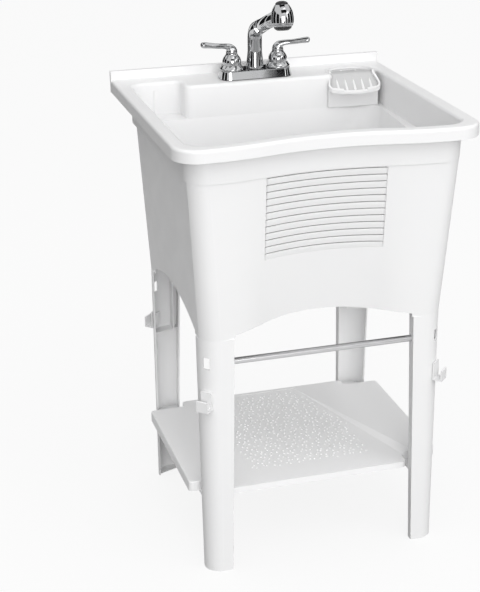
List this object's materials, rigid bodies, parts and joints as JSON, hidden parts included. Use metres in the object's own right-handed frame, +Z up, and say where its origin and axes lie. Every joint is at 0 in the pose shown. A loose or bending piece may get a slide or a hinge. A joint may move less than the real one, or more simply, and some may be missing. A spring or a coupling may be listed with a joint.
{
  "type": "utility laundry sink",
  "caption": "Free-standing moulded laundry sink on clip-in legs, with a shelf, towel bar, hooks, lift-out soap dish and a lever faucet with a pull-out spray.",
  "frame": {"origin": "on the floor, below the middle of the tub's rim", "axes": "+X to the right and -Y to the front as the user stands at the sink, +Z up; the backsplash faces +Y"},
  "size_m": [0.6, 0.576, 1.0899],
  "materials": {
    "tub_white": "satin moulded white",
    "leg_white": "satin moulded white",
    "chrome": "polished",
    "brass": "machined",
    "steel": "brushed",
    "black_plastic": "satin black",
    "grey_plastic": "matte",
    "black_rubber": "soft"
  },
  "bodies": {
    "sink": {"tub_basin": "tub_white", "skirt": "tub_white", "leg_front_right": "leg_white", "leg_front_left": "leg_white", "leg_back_right": "leg_white", "leg_back_left": "leg_white", "hook_front_right": "leg_white", "hook_front_left": "leg_white", "hook_back_right": "leg_white", "hook_back_left": "leg_white", "towel_bar": "leg_white", "storage_shelf": "leg_white", "faucet_gasket": "black_rubber", "faucet_base": "chrome", "shank_nuts": "grey_plastic", "valve_body_hot": "brass", "valve_body_cold": "brass", "valve_bell_hot": "chrome", "valve_bell_cold": "chrome", "spout_bushing": "brass", "drain_body": "steel", "drain_gasket": "black_rubber", "drain_nut": "steel", "tailpiece": "chrome", "tail_nut": "chrome"},
    "lever_hot": {"lever_hot": "chrome", "valve_stem_hot": "brass", "lever_screw_hot": "steel"},
    "lever_cold": {"lever_cold": "chrome", "valve_stem_cold": "brass", "lever_screw_cold": "steel"},
    "spout": {"spout": "chrome"},
    "spray": {"spray_wand": "chrome", "head_ring": "chrome", "spray_face": "black_plastic"},
    "button": {"spray_button": "black_plastic"},
    "dish": {"soap_dish": "tub_white"},
    "stopper": {"drain_stopper": "black_rubber"}
  },
  "joints": [
    {"name": "hot_lever_turn", "type": "hinge", "parent": "sink", "child": "lever_hot", "pos_m": [-0.0508, 0.222, 0.94], "axis": [0, 0, 1], "range_deg": [0, 90]},
    {"name": "cold_lever_turn", "type": "hinge", "parent": "sink", "child": "lever_cold", "pos_m": [0.0508, 0.222, 0.94], "axis": [0, 0, -1], "range_deg": [0, 90]},
    {"name": "spout_swivel", "type": "hinge", "parent": "sink", "child": "spout", "pos_m": [0, 0.222, 0.93], "axis": [0, 0, 1], "range_deg": [-60, 60]},
    {"name": "spray_pull", "type": "slide", "parent": "spout", "child": "spray", "axis": [0, -0.9397, 0.342], "range_m": [0, 0.028]},
    {"name": "button_press", "type": "slide", "parent": "spray", "child": "button", "axis": [0, -0.1736, -0.9848], "range_m": [0, 0.003], "stiffness_N_per_m": 1200, "springref_m": -0.001},
    {"name": "dish_lift", "type": "slide", "parent": "sink", "child": "dish", "axis": [0, 0, 1], "range_m": [0, 0.08]},
    {"name": "stopper_lift", "type": "slide", "parent": "sink", "child": "stopper", "axis": [0, 0, 1], "range_m": [0, 0.04]}
  ]
}
